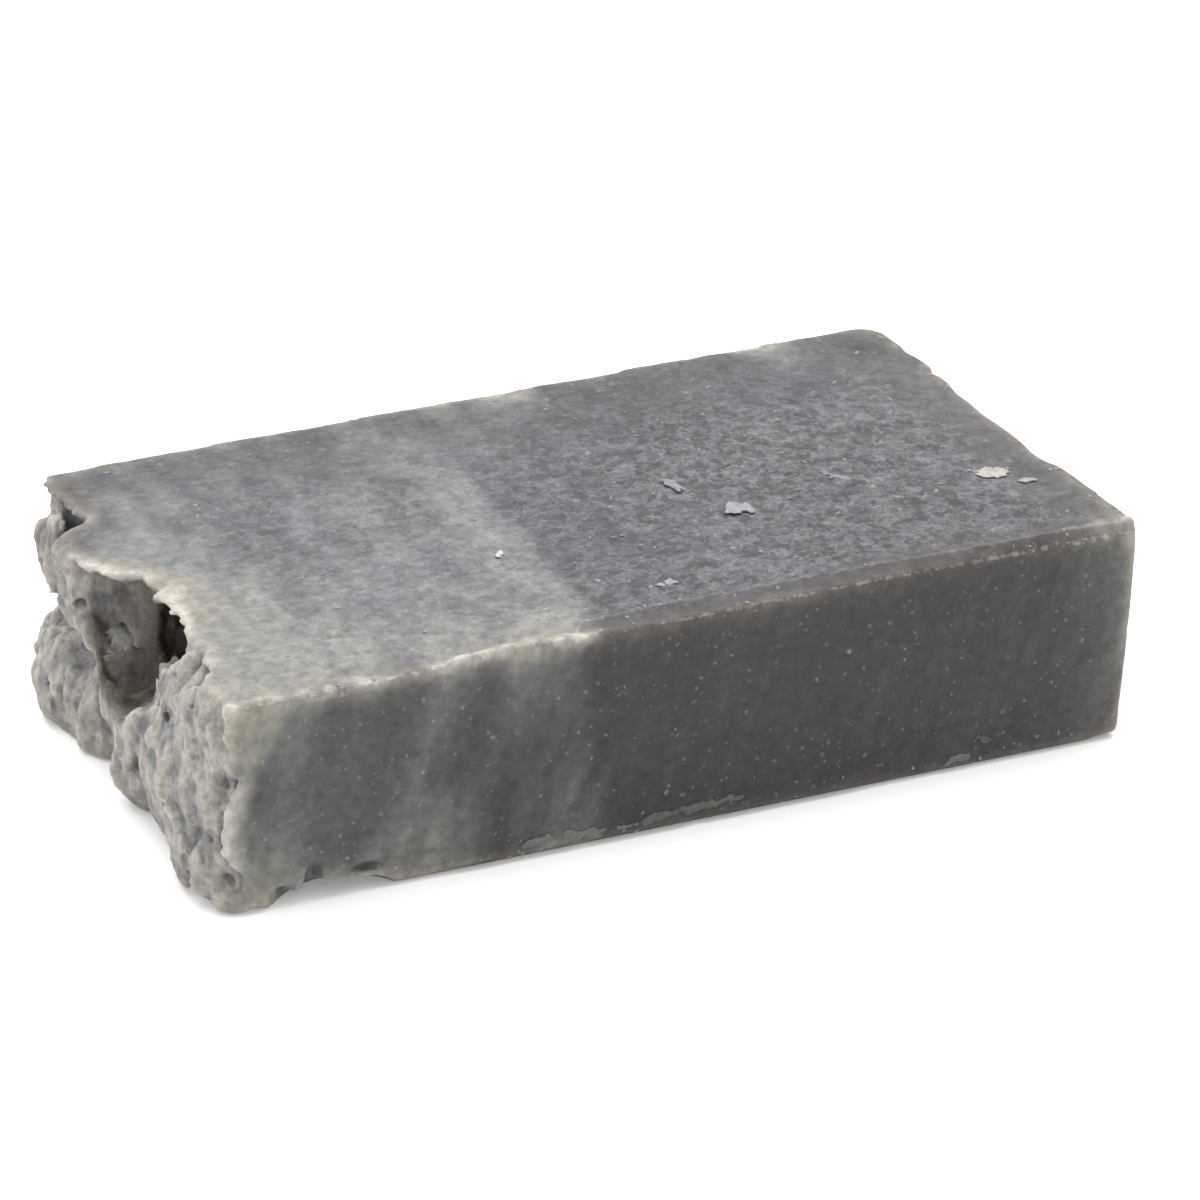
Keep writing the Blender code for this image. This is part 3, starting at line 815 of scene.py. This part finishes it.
tumble = node(crumb_tree, "FunctionNodeRandomValue",
              {0: (-0.3, -0.3, 0.0), 1: (0.3, 0.3, 2 * math.pi), "Seed": 8}, data_type="FLOAT_VECTOR")
turned = node(crumb_tree, "GeometryNodeRotateInstances", {"Instances": chips, "Rotation": tumble})
real = node(crumb_tree, "GeometryNodeRealizeInstances", {"Geometry": turned})
dents = node(crumb_tree, "ShaderNodeTexNoise", {"Scale": 1800.0, "Detail": 2.0})
offset = node(crumb_tree, "ShaderNodeVectorMath", {0: dents.outputs["Color"], 1: (0.5, 0.5, 0.5)},
              operation="SUBTRACT")
offset = node(crumb_tree, "ShaderNodeVectorMath", {0: offset, "Scale": given["Raggedness"]},
              operation="SCALE")
ragged = node(crumb_tree, "GeometryNodeSetPosition", {"Geometry": real, "Offset": offset})
finished = node(crumb_tree, "GeometryNodeSetMaterial", {"Geometry": ragged, "Material": given["Material"]})
node(crumb_tree, "NodeGroupOutput", {"Geometry": finished})

scatter = bar.modifiers.new("crumb scatter", "NODES")
scatter.node_group = crumb_tree
for name, (kind, value) in CRUMB_INPUTS.items():
    scatter[sockets[name].identifier] = value
bar.update_tag()
crumb_mesh = bpy.data.meshes.new_from_object(bar.evaluated_get(bpy.context.evaluated_depsgraph_get()))
bar.modifiers.clear()
crumb_mesh.name = "fine_crumbs"
crumbs_piece = bpy.data.objects.new("fine_crumbs", crumb_mesh)
bpy.context.scene.collection.objects.link(crumbs_piece)
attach(crumbs_piece, "root")

# ---- Studio ----
# A pale floor of white paper, lit a little from below so that the bar casts almost no shadow, one large
# soft lamp overhead, even white surroundings, and a long lens.
bpy.ops.mesh.primitive_plane_add(size=6)
floor = bpy.context.object
floor.name = "floor"
paper = bpy.data.materials.new("white paper sweep")
paper.use_nodes = True
paper_sockets = paper.node_tree.nodes["Principled BSDF"].inputs
paper_sockets["Base Color"].default_value = (0.9, 0.9, 0.9, 1)
paper_sockets["Roughness"].default_value = 0.9
paper_sockets["Emission Color"].default_value = (1, 1, 1, 1)
paper_sockets["Emission Strength"].default_value = 0.15
floor.data.materials.append(paper)

world = bpy.data.worlds.new("studio")
world.use_nodes = True
world.node_tree.nodes["Background"].inputs["Color"].default_value = (1, 1, 1, 1)
world.node_tree.nodes["Background"].inputs["Strength"].default_value = 0.97
bpy.context.scene.world = world

softbox_light = bpy.data.lights.new("overhead softbox", "AREA")
softbox_light.shape = "SQUARE"
softbox_light.size = 1.5
softbox_light.energy = 21
softbox = bpy.data.objects.new("overhead softbox", softbox_light)
softbox.location = (0.1, 0.35, 1.0)
softbox_aim = softbox.location - Vector((0, 0, 0.01))
softbox.rotation_euler = softbox_aim.to_track_quat("Z", "Y").to_euler()
bpy.context.scene.collection.objects.link(softbox)

camera_data = bpy.data.cameras.new("camera")
camera_data.sensor_width = 36
camera_data.lens = 113.5
camera_data.clip_start = 0.02
camera = bpy.data.objects.new("camera", camera_data)
# Angles in radians, place in mm
PITCH, YAW, ROLL = 0.455405, -0.427812, 0.020556
CAMERA_PLACE = Vector((-150.863, -334.920, 192.137))
forward = Vector((-math.sin(YAW) * math.cos(PITCH), math.cos(YAW) * math.cos(PITCH), -math.sin(PITCH)))
camera.matrix_world = (
    Matrix.Translation(CAMERA_PLACE * MM)
    @ forward.to_track_quat("-Z", "Y").to_matrix().to_4x4()
    @ Matrix.Rotation(ROLL, 4, "Z")
)
bpy.context.scene.collection.objects.link(camera)
bpy.context.scene.camera = camera
bpy.context.scene.view_settings.view_transform = "Standard"
